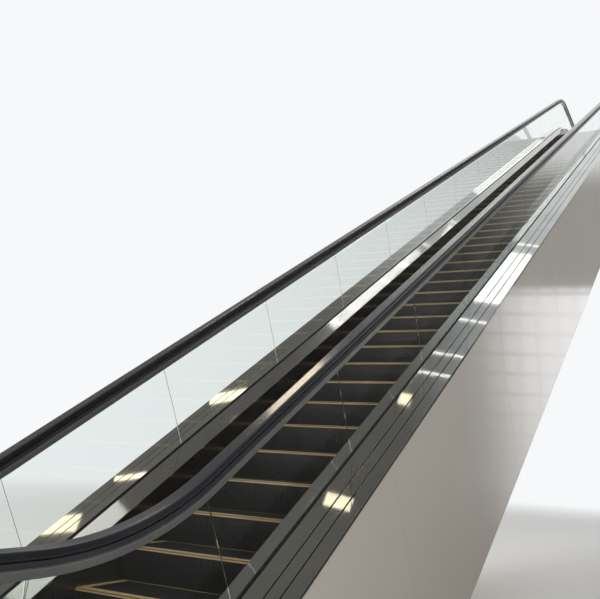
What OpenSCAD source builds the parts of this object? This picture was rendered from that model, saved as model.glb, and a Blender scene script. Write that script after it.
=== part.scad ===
// Public escalator with glass balustrades, from the lower floor level up.
// Riders go up along +X, their left hand is +Y, and Z = 0 is the ground.
// X = 0 is the lower working point, where the level and the sloping
// nose lines would meet without their transition curve.

/* [Layout] */
// Floor to floor height between the two landings
rise = 10000; // [6000:500:12000]
// Angle of the incline in degrees
incline = 30; // [28:1:32]
// Radius of the nose line in the lower transition curve
lower_curve_r = 2000; // [1600:50:2400]
// Radius of the nose line in the upper transition curve
upper_curve_r = 2600; // [2200:50:3000]
// Level run of steps between the lower comb and the lower curve
lower_level = 1329; // [1215:1:1500]
// Shortest level run of steps between the upper curve and the upper comb
upper_level = 1215; // [1215:5:1500]
// Length of each landing from the comb line to its end
landing_len = 1460; // [1300:10:1800]

/* [Steps] */
// Width of the moving steps
step_w = 1000; // [800:100:1000]
// Distance from one step to the next along the band
step_pitch = 405; // [403:1:408]
// Depth of one tread from nose to back edge
tread_depth = 400; // [398:1:400]
// Width of the yellow lines along the nose and both ends of a tread
edge_line_w = 45; // [30:1:50]
// Width of the yellow line along the back edge of a tread
back_line_w = 12; // [8:1:20]
// Height of the yellow lip that wraps the nose
nose_lip_h = 18; // [12:1:20]
// Height of the cleats, and of the yellow inserts beside them
cleat_h = 9; // [8:0.5:11]

/* [Balustrades] */
// Height of the handrail's top above the landings
handrail_h = 910; // [890:5:960]
// How much higher above the nose line it lies on the incline, measured upright
handrail_lift = 58; // [0:2:80]
// Radius of the handrail's centre line in both transition curves
handrail_curve_r = 2000; // [1700:50:2400]
// Radius of the handrail's centre line round the newels
newel_r = 410; // [395:5:420]
// Thickness of the glass
glass_t = 12; // [10:1:12]
// Distance from a step's end to the middle of the glass
glass_out = 139; // [130:1:150]
// Length of one glass panel along the incline
glass_len = 1467; // [1200:1:1600]

/* [Outside] */
// Distance from a step's end to the edge of the outer deck
deck_out = 412; // [390:1:450]
// Depth of the body below the nose line, square to the incline
body_depth = 1610; // [1400:10:1700]
// Depth of the body below the upper floor
head_depth = 1300; // [1100:10:1400]

/* [Hidden] */
$fn = 96;

// Thicknesses and gaps
plate_t = 22;        // floor plates, comb plates and the tread of a level step
pan_t = 8;           // pan that carries the lower landing
floor_z = pan_t + plate_t;
top_z = floor_z + rise;
sheet_t = 6;         // cladding, soffit and end panel
joint_gap = 3;       // between neighbouring panels
seat_gap = 0.3;      // between a curved piece and its seat
step_gap = 4;        // between the end steps and the comb plates
skirt_gap = 3;
skirt_t = 8;
side_in = step_w/2 + skirt_gap;
side_box = side_in + skirt_t;
side_out = step_w/2 + deck_out - 2*sheet_t;
clad_out = side_out + sheet_t;
deck_edge = step_w/2 + deck_out;
glass_y = step_w/2 + glass_out;

// Heights above the nose line
deck_seat = 126;
deck_lip = 130;
deck_crest = 168;
deck_fall = 24;
clamp_top = 172;
clamp_floor = 136;
clamp_wall = 6;
skirt_low = 240;

// Points of the step band: s runs along the nose line from the lower curve
lower_t = lower_curve_r*tan(incline/2);
upper_t = upper_curve_r*tan(incline/2);
upper_x = rise/tan(incline);
s_lower = lower_curve_r*incline*PI/180;
s_upper = s_lower + rise/sin(incline) - lower_t - upper_t;
s_level = s_upper + upper_curve_r*incline*PI/180;
step_count = ceil((s_level + upper_level + lower_level)/step_pitch);
lower_comb_x = -lower_t - lower_level;
upper_comb_x = upper_x + upper_t + step_count*step_pitch - lower_level - s_level;
first_incline = ceil((s_lower + lower_level)/step_pitch) + 1;
last_incline = floor((s_upper + lower_level)/step_pitch) - 1;
incline_group = ceil((last_incline - first_incline + 1)/4);
riser_r = tread_depth;
nose_lip_t = 5;
seat_x = 75;         // where the sloping underside of a step starts

// Handrail and newels
handrail_w = 82;
handrail_t = 38;
handrail_round = 18;
guide_low = -104;    // foot of the guide below the handrail's centre line
glass_grip = 34;     // depth of glass in the guide's foot
handrail_z = handrail_h - handrail_t/2;
rail_shift = -handrail_lift/tan(incline); // lifts the sloping part only
newel_back = 400;    // newel centre beyond the comb line
lower_newel_x = lower_comb_x - newel_back;
upper_newel_x = upper_comb_x + newel_back;
return_z = handrail_z - 2*newel_r;
inlet_depth = 120;   // handrail inside its inlet
base_front = 60;     // newel base in front of the newel centre
base_back = 200;     // and behind it
base_round = 80;
mouth_w = 108;
mouth_low = 30;
mouth_high = 50;

// Ends of the landings
lower_end_x = lower_comb_x - landing_len;
upper_end_x = upper_comb_x + landing_len;
comb_plate_len = 330;
body_n = body_depth - sheet_t;
head_z = top_z - head_depth + sheet_t;
ground_x = (body_n/cos(incline) - floor_z)/tan(incline);
head_x = (head_z - floor_z + body_n/cos(incline))/tan(incline);
arc_n = 20;

// Point at distance s along a line with curves of radius r1 and r2,
// whose level part lies z0 above the ground, moved n square to the line
function line_s1(r1) = r1*incline*PI/180;
function line_s2(r1, r2) = line_s1(r1) + rise/sin(incline) - (r1 + r2)*tan(incline/2);
function line_s3(r1, r2) = line_s2(r1, r2) + r2*incline*PI/180;
function level_low(s, n, z0, r1) = [s - r1*tan(incline/2), z0 + n];
function curve_low(s, n, z0, r1) = let (a = s/r1*180/PI)
    [(r1 - n)*sin(a) - r1*tan(incline/2), z0 + r1 - (r1 - n)*cos(a)];
function slope(s, n, z0, r1) = let (d = s - line_s1(r1) + r1*tan(incline/2))
    [d*cos(incline) - n*sin(incline), z0 + d*sin(incline) + n*cos(incline)];
function curve_high(s, n, z0, r1, r2) = let (a = incline - (s - line_s2(r1, r2))/r2*180/PI)
    [upper_x + r2*tan(incline/2) - (r2 + n)*sin(a), z0 + rise - r2 + (r2 + n)*cos(a)];
function level_high(s, n, z0, r1, r2) =
    [upper_x + r2*tan(incline/2) + s - line_s3(r1, r2), z0 + rise + n];
function line_at(s, n, z0, r1, r2) =
    s < 0 ? level_low(s, n, z0, r1) :
    s < line_s1(r1) ? curve_low(s, n, z0, r1) :
    s < line_s2(r1, r2) ? slope(s, n, z0, r1) :
    s < line_s3(r1, r2) ? curve_high(s, n, z0, r1, r2) :
    level_high(s, n, z0, r1, r2);
// Points of such a line between two x of its level parts
function line_points(x0, x1, n, z0, r1, r2) = concat(
    [[x0, z0 + n]],
    [for (i = [0 : arc_n]) curve_low(line_s1(r1)*i/arc_n, n, z0, r1)],
    [for (i = [0 : arc_n])
        curve_high(line_s2(r1, r2) + (line_s3(r1, r2) - line_s2(r1, r2))*i/arc_n, n, z0, r1, r2)],
    [[x1, z0 + rise + n]]);
function nose_line(x0, x1, n) = line_points(x0, x1, n, floor_z, lower_curve_r, upper_curve_r);
function rail_line(x0, x1, n) = [for (p = line_points(x0 - rail_shift, x1 - rail_shift, n,
    floor_z + handrail_z, handrail_curve_r, handrail_curve_r)) p + [rail_shift, 0]];
function arc(c, r, a0, a1, n) = [for (i = [0 : n]) let (a = a0 + (a1 - a0)*i/n)
    [c[0] + r*cos(a), c[1] + r*sin(a)]];
function reversed(p) = [for (i = [len(p) - 1 : -1 : 0]) p[i]];

// Nose of step i, and the corner of the track under it
function nose(i) = line_at(i*step_pitch - lower_level, 0, floor_z, lower_curve_r, upper_curve_r);
function seat(i) = [nose(i)[0] + seat_x, nose(i - 1)[1] - plate_t];

// An upright plate from y0 to y1, its outline drawn in X and Z
module upright(y0, y1) {
    translate([0, y1, 0]) rotate([90, 0, 0]) linear_extrude(y1 - y0) children();
}
// A block between two corners
module block(p0, p1) {
    translate(p0) cube(p1 - p0);
}
module right_hand() {
    mirror([0, 1, 0]) children();
}

// A bar with section p of [y, n] points along a line with curves r1 and r2,
// in five stretches, with the incline cut into count lengths
module bar_level(p, x0, x1, z) {
    translate([x0, 0, z]) rotate([90, 0, 90]) linear_extrude(x1 - x0) polygon(p);
}
module bar_slope(p, s0, s1, z0, r1) {
    start = slope(s0, 0, z0, r1);
    translate([start[0], 0, start[1]]) rotate([0, -incline, 0])
        rotate([90, 0, 90]) linear_extrude(s1 - s0) polygon(p);
}
module bar_curve_low(p, z0, r1) {
    translate([-r1*tan(incline/2), 0, z0 + r1]) rotate([90, 90, 0])
        rotate_extrude(angle = incline) polygon([for (q = p) [r1 - q[1], -q[0]]]);
}
module bar_curve_high(p, z0, r2) {
    translate([upper_x + r2*tan(incline/2), 0, z0 + rise - r2]) rotate([90, -90, 0])
        rotate_extrude(angle = incline) polygon([for (q = p) [r2 + q[1], -q[0]]]);
}
module bar(p, x0, x1, z0, r1, r2, gap, count) {
    s1 = line_s1(r1);
    s2 = line_s2(r1, r2);
    length = (s2 - s1 - gap)/count;
    bar_level(p, x0, -r1*tan(incline/2) - gap, z0);
    bar_curve_low(p, z0, r1);
    for (i = [0 : count - 1])
        bar_slope(p, s1 + gap + i*length, s1 + (i + 1)*length, z0, r1);
    bar_curve_high(p, z0, r2);
    bar_level(p, upper_x + r2*tan(incline/2) + gap, x1, z0 + rise);
}
module deck_bar(p) {
    bar(p, lower_newel_x + base_back, upper_newel_x - base_back, floor_z,
        lower_curve_r, upper_curve_r, joint_gap/3, 6);
}

// One step: curved riser, level tread on a rebate, underside on the track
module step(i) {
    n = nose(i);
    drop = n[1] - seat(i)[1];
    lean = (seat(i + 1)[1] - seat(i)[1])/(seat(i + 1)[0] - seat(i)[0]);
    riser = [for (j = [0 : 8]) let (h = nose_lip_h + (drop - nose_lip_h)*j/8)
        [riser_r - sqrt(riser_r*riser_r - h*h), -h]];
    translate([n[0], 0, n[1]]) {
        upright(-step_w/2, step_w/2)
            polygon(concat([[nose_lip_t, -cleat_h], [nose_lip_t, -nose_lip_h]], riser, [[seat_x, -drop],
                [tread_depth, (tread_depth - seat_x)*lean - drop], [tread_depth, -cleat_h]]));
        block([edge_line_w, edge_line_w - step_w/2, -cleat_h],
            [tread_depth - back_line_w, step_w/2 - edge_line_w, 0]);
    }
}
module steps(i0, i1) {
    color([0.16, 0.16, 0.18]) for (i = [i0 : i1]) step(i);
}
module incline_steps(group) {
    i0 = first_incline + group*incline_group;
    steps(i0, min(i0 + incline_group - 1, last_incline));
}

// The yellow insert round a tread, with the lip that wraps the nose
module step_edges(i0, i1) {
    inner = step_w/2 - edge_line_w;
    color([0.85, 0.66, 0.25]) for (i = [i0 : i1]) translate([nose(i)[0], 0, nose(i)[1]]) {
        difference() {
            block([0, -step_w/2, -cleat_h], [tread_depth, step_w/2, 0]);
            block([edge_line_w, -inner, -cleat_h - 1], [tread_depth - back_line_w, inner, 1]);
        }
        block([0, -step_w/2, -nose_lip_h], [nose_lip_t, step_w/2, -cleat_h]);
    }
}

// Landing: comb plate, comb and floor plates, drawn from the comb line outward
comb_t = 6;
comb_strip = 70;
comb_reach = 35;
tooth_pitch = 9;
tooth_w = 4;
tooth_tip = 1.5;     // thickness of the comb at the tips of its teeth
tooth_count = floor((step_w - tooth_w)/tooth_pitch);
module comb_plate() {
    color([0.6, 0.61, 0.63])
        block([-comb_plate_len, -side_in, -plate_t], [-step_gap, side_in, 0]);
}
module comb() {
    first = -(tooth_count - 1)/2*tooth_pitch;
    color([0.7, 0.71, 0.73]) intersection() {
        linear_extrude(comb_t)
            polygon(concat([[-comb_strip, -step_w/2], [-step_gap, -step_w/2]],
                [for (i = [0 : tooth_count - 1]) let (y = first + i*tooth_pitch)
                    for (p = [[-step_gap, y - tooth_w/2], [comb_reach, y - tooth_w/4],
                        [comb_reach, y + tooth_w/4], [-step_gap, y + tooth_w/2]]) p],
                [[-step_gap, step_w/2], [-comb_strip, step_w/2]]));
        upright(-step_w/2, step_w/2) polygon([[-comb_strip, 0], [-comb_strip, tooth_tip],
            [2*comb_t - comb_strip, comb_t], [-comb_t, comb_t], [comb_reach, tooth_tip],
            [comb_reach, 0]]);
    }
}
module floor_plate() {
    front = -newel_back - base_front;
    middle = (front - landing_len)/2;
    color([0.66, 0.67, 0.69]) {
        block([-landing_len, -clad_out, -plate_t], [middle - joint_gap, clad_out, 0]);
        block([middle, -clad_out, -plate_t], [front - joint_gap, clad_out, 0]);
        block([front, -side_in, -plate_t], [-comb_plate_len - joint_gap, side_in, 0]);
    }
}
module at_lower() {
    translate([lower_comb_x, 0, floor_z]) children();
}
module at_upper() {
    translate([upper_comb_x, 0, top_z]) mirror([1, 0, 0]) children();
}

// Skirt: upright panels close beside the steps, cut like the glass
module skirt_outline() {
    x0 = lower_newel_x - base_front;
    x1 = upper_newel_x + base_front;
    intersection() {
        polygon(concat(nose_line(x0, x1, deck_seat), reversed(nose_line(x0, x1, -skirt_low))));
        translate([x0, floor_z - plate_t]) square([x1 - x0, 2*rise]);
    }
}
module skirt() {
    color([0.13, 0.13, 0.14]) upright(side_in, side_box) panel_cuts(1) skirt_outline();
}

// Decks beside the glass
module inner_deck() {
    color([0.75, 0.76, 0.78]) deck_bar([[side_in, deck_seat + seat_gap], [side_in, deck_lip],
        [glass_y - glass_t/2 - clamp_wall, deck_crest],
        [glass_y - glass_t/2 - clamp_wall, deck_seat + seat_gap]]);
}
deck_groove = 6;
strip_1 = 251;       // grooves between the strips, from the step's end
strip_2 = 326;
module outer_strip(y0, y1) {
    start = glass_y + glass_t/2 + clamp_wall;
    fall = deck_fall/(deck_edge - start);
    deck_bar([[y0, deck_seat + seat_gap], [y0, deck_crest - fall*(y0 - start)],
        [y1, deck_crest - fall*(y1 - start)], [y1, deck_seat + seat_gap]]);
}
module outer_deck() {
    g1 = step_w/2 + strip_1;
    g2 = step_w/2 + strip_2;
    color([0.72, 0.73, 0.75]) {
        outer_strip(glass_y + glass_t/2 + clamp_wall, g1 - deck_groove/2);
        outer_strip(g1 + deck_groove/2, g2 - deck_groove/2);
        outer_strip(g2 + deck_groove/2, deck_edge);
    }
}
module glass_base() {
    out = glass_t/2 + clamp_wall;
    in = glass_t/2;
    color([0.6, 0.61, 0.63]) deck_bar([for (q = [[-out, deck_seat + seat_gap], [-out, clamp_top],
        [-in, clamp_top], [-in, clamp_floor], [in, clamp_floor], [in, clamp_top],
        [out, clamp_top], [out, deck_seat + seat_gap]]) [glass_y + q[0], q[1]]]);
}

// Glass: the whole outline of one side, cut into panels by joints
glass_first = 1361;  // first joint on the incline, along the nose line
glass_low = clamp_floor + 1;
level_joint = 110;   // joint on the level, before the lower curve
panel_count = floor((s_upper - glass_first)/glass_len);
glass_n = guide_low + glass_grip; // edge of the glass below the handrail's centre line
glass_r = newel_r + glass_n;
module glass_outline() {
    zc = floor_z + handrail_z - newel_r;
    polygon(concat(
        rail_line(lower_newel_x, upper_newel_x, glass_n),
        arc([upper_newel_x, zc + rise], glass_r, 90, -90, 36),
        [[upper_newel_x - joint_gap, zc + rise - glass_r]],
        reversed(nose_line(lower_newel_x + joint_gap, upper_newel_x - joint_gap, glass_low)),
        [[lower_newel_x + joint_gap, zc - glass_r]],
        arc([lower_newel_x, zc], glass_r, 270, 90, 36)));
}
function joint_line(k) = glass_first + k*glass_len;
// Strip of the incline between two joints, reaching far above and below
module joint_strip(s0, s1) {
    far = 2*body_depth;
    polygon([for (q = [[s0, -far], [s1, -far], [s1, far], [s0, far]])
        slope(q[0], q[1], floor_z, lower_curve_r)]);
}
module lower_end_strip(x) {
    translate([lower_end_x - 1, -1]) square([x - lower_end_x + 1, rise]);
}
module upper_end_strip(x) {
    translate([x, top_z - 2*body_depth]) square([upper_end_x - x + 1, 4*body_depth]);
}
// Part between the level joint and the first joint of the incline
module lower_curve_strip(x) {
    far = 2*body_depth;
    s = joint_line(0) - joint_gap;
    up = slope(s, far, floor_z, lower_curve_r);
    down = slope(s, -far, floor_z, lower_curve_r);
    polygon([[x + joint_gap, -1], [down[0], -1], down, up, [x + joint_gap, up[1]]]);
}
module upper_curve_strip(x) {
    far = 2*body_depth;
    s = joint_line(panel_count);
    up = slope(s, far, floor_z, lower_curve_r);
    down = slope(s, -far, floor_z, lower_curve_r);
    polygon([up, down, [x - joint_gap, down[1]], [x - joint_gap, up[1]]]);
}
lower_joint_x = -lower_t - level_joint;
upper_joint_x = upper_x + upper_t + level_joint;
// The outline drawn by the child, cut at every joint or at each second one
module panel_cuts(every) {
    intersection() { children(); lower_end_strip(lower_joint_x); }
    intersection() { children(); lower_curve_strip(lower_joint_x); }
    for (k = [0 : every : panel_count - 1])
        intersection() {
            children();
            joint_strip(joint_line(k), joint_line(min(k + every, panel_count)) - joint_gap);
        }
    intersection() { children(); upper_curve_strip(upper_joint_x); }
    intersection() { children(); upper_end_strip(upper_joint_x); }
}
module glass_sheet() {
    upright(glass_y - glass_t/2, glass_y + glass_t/2) children();
}
module glass() {
    color([0.7, 0.85, 0.8, 0.4]) {
        glass_sheet() intersection() { glass_outline(); lower_curve_strip(lower_joint_x); }
        for (k = [0 : panel_count - 1]) glass_sheet() intersection() {
            glass_outline();
            joint_strip(joint_line(k), joint_line(k + 1) - joint_gap);
        }
        glass_sheet() intersection() { glass_outline(); upper_curve_strip(upper_joint_x); }
    }
}
module end_glass() {
    color([0.7, 0.85, 0.8, 0.4]) {
        glass_sheet() intersection() { glass_outline(); lower_end_strip(lower_joint_x); }
        glass_sheet() intersection() { glass_outline(); upper_end_strip(upper_joint_x); }
    }
}

// Handrail: a C-shaped rubber section on a guide, whose foot clamps the glass
cavity = [28, -11, 4];
lip_gap = 20;
function rail_section() = let (h = handrail_t/2, r = handrail_round, w = handrail_w/2)
    concat([[lip_gap, -h]], arc([w - r, r - h], r, -90, 0, 4), arc([w - r, h - r], r, 0, 90, 4),
        arc([r - w, h - r], r, 90, 180, 4), arc([r - w, r - h], r, 180, 270, 4),
        [[-lip_gap, -h], [-lip_gap, cavity[1]], [-cavity[0], cavity[1]], [-cavity[0], cavity[2]],
        [cavity[0], cavity[2]], [cavity[0], cavity[1]], [lip_gap, cavity[1]]]);
guide_head = [26, -9];
guide_stem = 18;
carrier = [24, -20.5, -56]; // half width, top and foot of the part under the handrail
guide_seam = [17, -60];     // groove between the carrier and the part that clamps the glass
guide_foot = 19;
guide_edge = 3;
// Right half of the guide's section, from the slot for the glass up to the head
function guide_half() = let (slot = glass_t/2 + seat_gap)
    [[slot, glass_n + seat_gap], [slot, guide_low], [guide_foot - guide_edge, guide_low],
    [guide_foot, guide_low + guide_edge], [guide_foot, guide_seam[1]], [guide_seam[0], guide_seam[1]],
    [guide_seam[0], carrier[2]], [carrier[0], carrier[2]], [carrier[0], carrier[1]],
    [guide_stem, carrier[1]], [guide_stem, guide_head[1]], [guide_head[0], guide_head[1]],
    [guide_head[0], cavity[2] - seat_gap]];
function guide_section() =
    concat(guide_half(), reversed([for (q = guide_half()) [-q[0], q[1]]]));
module half_turn(p, x, z, side) {
    translate([x, 0, z]) rotate([90, side*90, 0])
        rotate_extrude(angle = 180) polygon([for (q = p) [newel_r + q[1], -q[0]]]);
}
module along_rail(section) {
    p = [for (q = section) [glass_y + q[0], q[1]]];
    z0 = floor_z + handrail_z;
    translate([rail_shift, 0, 0]) bar(p, lower_newel_x - rail_shift, upper_newel_x - rail_shift,
        z0, handrail_curve_r, handrail_curve_r, 0, 1);
    half_turn(p, lower_newel_x, z0 - newel_r, -1);
    half_turn(p, upper_newel_x, z0 + rise - newel_r, 1);
}
module handrail_guide() {
    color([0.75, 0.76, 0.78]) along_rail(guide_section());
}
module handrail() {
    under = [for (q = rail_section()) [glass_y + q[0], -q[1]]];
    color([0.1, 0.11, 0.14]) {
        along_rail(rail_section());
        bar_level(under, lower_newel_x, lower_newel_x + inlet_depth, floor_z + return_z);
        bar_level(under, upper_newel_x - inlet_depth, upper_newel_x, top_z + return_z);
    }
}

// Newel base: closed end of a side, with the mouth that the handrail runs into
module newel_base() {
    x0 = -newel_back - base_front;
    x1 = base_back - newel_back;
    slot = carrier[0] + joint_gap;
    difference() {
        translate([0, 0, -plate_t]) linear_extrude(deck_crest + plate_t)
            polygon(concat([[x1, side_box], [x1, clad_out]],
                arc([x0 + base_round, clad_out - base_round], base_round, 90, 180, 12),
                arc([x0 + base_round/4, side_box + base_round/4], base_round/4, 180, 270, 6)));
        block([x0 - 1, glass_y - mouth_w/2, return_z - mouth_low],
            [base_back - newel_back - base_front, glass_y + mouth_w/2, return_z + mouth_high]);
        block([x0 - 1, glass_y - slot, return_z],
            [joint_gap - newel_back, glass_y + slot, deck_crest + 1]);
        block([x0 - 1, glass_y - glass_t/2, clamp_floor],
            [x1 + 1, glass_y + glass_t/2, deck_crest + 1]);
    }
}
module newel_bases() {
    color([0.72, 0.73, 0.75]) {
        newel_base();
        right_hand() newel_base();
    }
}

// Side of the body, from its floor line to the seat of the decks
function under_side(x0) =
    [[upper_end_x, head_z], [head_x, head_z], [ground_x, 0], [x0, 0]];
module side_outline() {
    x0 = lower_newel_x + base_back;
    x1 = upper_newel_x - base_back;
    polygon(concat(nose_line(x0, x1, deck_seat),
        [[x1, top_z - plate_t], [upper_end_x, top_z - plate_t]], under_side(x0)));
}
module truss_side() {
    color([0.3, 0.31, 0.33]) upright(side_box, side_out) side_outline();
}
module cladding() {
    color([0.93, 0.92, 0.9]) upright(side_out, clad_out) panel_cuts(1) side_outline();
}

// Body under the steps
module landing_pan() {
    x0 = lower_newel_x + base_back;
    color([0.3, 0.31, 0.33]) linear_extrude(pan_t)
        polygon([[lower_end_x, -clad_out], [x0, -clad_out], [x0, -side_in],
            [seat(level_steps)[0], -side_in], [seat(level_steps)[0], side_in],
            [x0, side_in], [x0, clad_out], [lower_end_x, clad_out]]);
}
level_steps = ceil(lower_level/step_pitch);
module incline_truss() {
    last = seat(last_incline);
    low = body_n/cos(incline);
    color([0.3, 0.31, 0.33]) upright(-side_in, side_in)
        polygon(concat([for (i = [level_steps : last_incline]) seat(i)],
            [[last[0], floor_z + last[0]*tan(incline) - low], [ground_x, 0],
            [seat(level_steps)[0], 0]]));
}
module upper_truss() {
    last = seat(last_incline);
    low = body_n/cos(incline);
    color([0.3, 0.31, 0.33]) upright(-side_in, side_in)
        polygon(concat([for (i = [last_incline : step_count]) seat(i)],
            [[upper_end_x, top_z - plate_t], [upper_end_x, head_z], [head_x, head_z],
            [last[0], floor_z + last[0]*tan(incline) - low]]));
}

// Panels that close the underside and the upper end
soffit_count = 6;
module incline_soffit() {
    a = [ground_x, 0];
    b = [head_x, head_z];
    along = [cos(incline), sin(incline)];
    length = norm(b - a)/soffit_count;
    down = sheet_t*[sin(incline), -cos(incline)];
    first = sheet_t/tan(incline);
    color([0.88, 0.85, 0.78]) upright(-clad_out, clad_out)
        for (i = [0 : soffit_count - 1]) {
            p = a + along*(i == 0 ? 2*first : i*length);
            q = a + along*((i + 1)*length - joint_gap);
            polygon([p, q, q + down, p + down]);
        }
}
module upper_soffit() {
    middle = (head_x + upper_end_x)/2;
    color([0.88, 0.85, 0.78]) {
        block([head_x + joint_gap, -clad_out, head_z - sheet_t], [middle, clad_out, head_z]);
        block([middle + joint_gap, -clad_out, head_z - sheet_t], [upper_end_x, clad_out, head_z]);
    }
}
module upper_end_panel() {
    color([0.88, 0.85, 0.78])
        block([upper_end_x, -clad_out, head_z - sheet_t], [upper_end_x + sheet_t, clad_out, top_z]);
}
bearing_leg = 180;
bearing_t = 20;
bearing_z = 140;     // underside of the bearing angle below the upper floor
module upper_bearing() {
    x0 = upper_end_x + sheet_t;
    z0 = top_z - bearing_z;
    color([0.35, 0.36, 0.38]) upright(-side_out, side_out)
        polygon([[x0, z0], [x0 + bearing_leg, z0], [x0 + bearing_leg, z0 + bearing_t],
            [x0 + bearing_t, z0 + bearing_t], [x0 + bearing_t, z0 + bearing_z - bearing_t],
            [x0, z0 + bearing_z - bearing_t]]);
}

steps(0, first_incline - 1);  // lower_steps
incline_steps(0);  // incline_steps_1
incline_steps(1);  // incline_steps_2
incline_steps(2);  // incline_steps_3
incline_steps(3);  // incline_steps_4
steps(last_incline + 1, step_count - 1);  // upper_steps
step_edges(0, first_incline - 1);  // lower_step_edges
step_edges(first_incline, last_incline);  // incline_step_edges
step_edges(last_incline + 1, step_count - 1);  // upper_step_edges
at_lower() comb_plate();  // lower_comb_plate
at_lower() comb();  // lower_comb
at_upper() comb_plate();  // upper_comb_plate
at_upper() comb();  // upper_comb
at_lower() floor_plate();  // lower_floor_plate
at_upper() floor_plate();  // upper_floor_plate
right_hand() skirt();  // right_skirt
skirt();  // left_skirt
right_hand() inner_deck();  // right_inner_deck
inner_deck();  // left_inner_deck
right_hand() outer_deck();  // right_outer_deck
outer_deck();  // left_outer_deck
right_hand() glass_base();  // right_glass_base
glass_base();  // left_glass_base
right_hand() glass();  // right_glass
glass();  // left_glass
right_hand() end_glass();  // right_end_glass
end_glass();  // left_end_glass
right_hand() handrail_guide();  // right_handrail_guide
handrail_guide();  // left_handrail_guide
right_hand() handrail();  // right_handrail
handrail();  // left_handrail
at_lower() newel_bases();  // lower_newel_bases
at_upper() newel_bases();  // upper_newel_bases
right_hand() cladding();  // right_cladding
cladding();  // left_cladding
incline_soffit();
upper_soffit();
upper_end_panel();
landing_pan();
incline_truss();
upper_truss();
right_hand() truss_side();  // right_truss_side
truss_side();  // left_truss_side
upper_bearing();
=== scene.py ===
# Dresses the escalator: cleated steps, combs, swept handrails and decks, glass, steel, paint, studio
import math

import bpy
import numpy as np
from mathutils import Matrix


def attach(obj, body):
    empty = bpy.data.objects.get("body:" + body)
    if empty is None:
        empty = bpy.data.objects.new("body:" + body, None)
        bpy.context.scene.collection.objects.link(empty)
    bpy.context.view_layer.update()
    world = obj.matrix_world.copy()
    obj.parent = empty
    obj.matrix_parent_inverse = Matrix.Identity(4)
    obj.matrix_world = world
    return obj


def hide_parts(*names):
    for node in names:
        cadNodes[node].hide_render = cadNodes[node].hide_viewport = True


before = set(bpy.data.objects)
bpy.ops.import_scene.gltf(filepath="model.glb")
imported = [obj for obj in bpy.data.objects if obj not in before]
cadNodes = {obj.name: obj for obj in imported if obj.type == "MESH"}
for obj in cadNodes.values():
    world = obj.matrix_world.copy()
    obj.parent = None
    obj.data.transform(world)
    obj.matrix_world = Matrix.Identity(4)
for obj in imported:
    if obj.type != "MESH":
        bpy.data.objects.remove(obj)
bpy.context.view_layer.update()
scene = bpy.context.scene
print("frame loaded:", len(cadNodes), "nodes")

# Shared layout, in metres, as in the part
layout = {
    "rise": 10.0,
    "incline": math.radians(30.0),
    "floor": 0.030,
    "lowerRadius": 2.0,
    "upperRadius": 2.6,
    "levelRun": 1.329,       # comb line to the lower curve
    "upperRun": 1.215,       # least level run at the top
    "pitch": 0.405,
    "treadDepth": 0.400,
    "halfStep": 0.500,
    "glassOut": 0.639,       # middle of the glass from the centre line
    "newelBack": 0.400,      # newel centre beyond the comb line
    "baseBack": 0.200,       # rear of the newel base behind the newel centre
    "baseFront": 0.060,      # its face beyond the newel centre
}
sides = (("right", -1.0), ("left", 1.0))
incline = layout["incline"]
lowerTangent = layout["lowerRadius"] * math.tan(incline / 2)
upperTangent = layout["upperRadius"] * math.tan(incline / 2)
slopeLength = layout["rise"] / math.sin(incline) - lowerTangent - upperTangent
curveEnd = layout["lowerRadius"] * incline
slopeEnd = curveEnd + slopeLength
levelStart = slopeEnd + layout["upperRadius"] * incline
stepCount = math.ceil((levelStart + layout["upperRun"] + layout["levelRun"]) / layout["pitch"])
upperX = layout["rise"] / math.tan(incline)
lowerCombX = -lowerTangent - layout["levelRun"]
upperCombX = upperX + upperTangent + stepCount * layout["pitch"] - layout["levelRun"] - levelStart
topZ = layout["floor"] + layout["rise"]

# The line through the step noses: s = 0 where the lower curve begins, and both ends go on straight.
# Each part is a length and the angle it turns by
noseRun = {"start": (-lowerTangent, layout["floor"]), "heading": 0.0,
           "parts": [(0.0, 0.0), (curveEnd, incline), (slopeLength, 0.0),
                     (layout["upperRadius"] * incline, -incline), (0.0, 0.0)]}


# A run is a chain of straights and bends in X and Z: the point at distance s is the start plus, for
# each part, the share of its length that s has passed, straight or round its arc
def pointsOn(run, s):
    x = np.full_like(s, run["start"][0])
    z = np.full_like(s, run["start"][1])
    heading = np.full_like(s, run["heading"])
    h = run["heading"]
    done = 0.0
    for k, (length, turn) in enumerate(run["parts"]):
        low = -np.inf if k == 0 else 0.0
        high = np.inf if k == len(run["parts"]) - 1 else length
        u = np.clip(s - done, low, high)
        if turn == 0.0:
            x += u * math.cos(h)
            z += u * math.sin(h)
        else:
            r = length / turn
            x += r * (np.sin(h + u / r) - math.sin(h))
            z -= r * (np.cos(h + u / r) - math.cos(h))
            heading += u / r
        h += turn
        done += length
    return x, z, heading


# Noses of steps: the points of the nose line at whole pitches from the lower comb
def noseAt(index):
    x, z, _ = pointsOn(noseRun, np.asarray(index, float) * layout["pitch"] - layout["levelRun"])
    return x, z


# Distances along a run, no further apart than spacing says for bends and for straights, with both ends
def spacedOn(run, s0, s1, spacing):
    marks = [s0, s1]
    done = 0.0
    for length, turn in run["parts"]:
        low, high = max(done, s0), min(done + length, s1)
        if high > low:
            count = max(math.ceil((high - low) / spacing[0 if turn else 1]), 1)
            marks += list(np.linspace(low, high, count + 1))
        done += length
    return np.unique(np.round(marks, 6))


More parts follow.
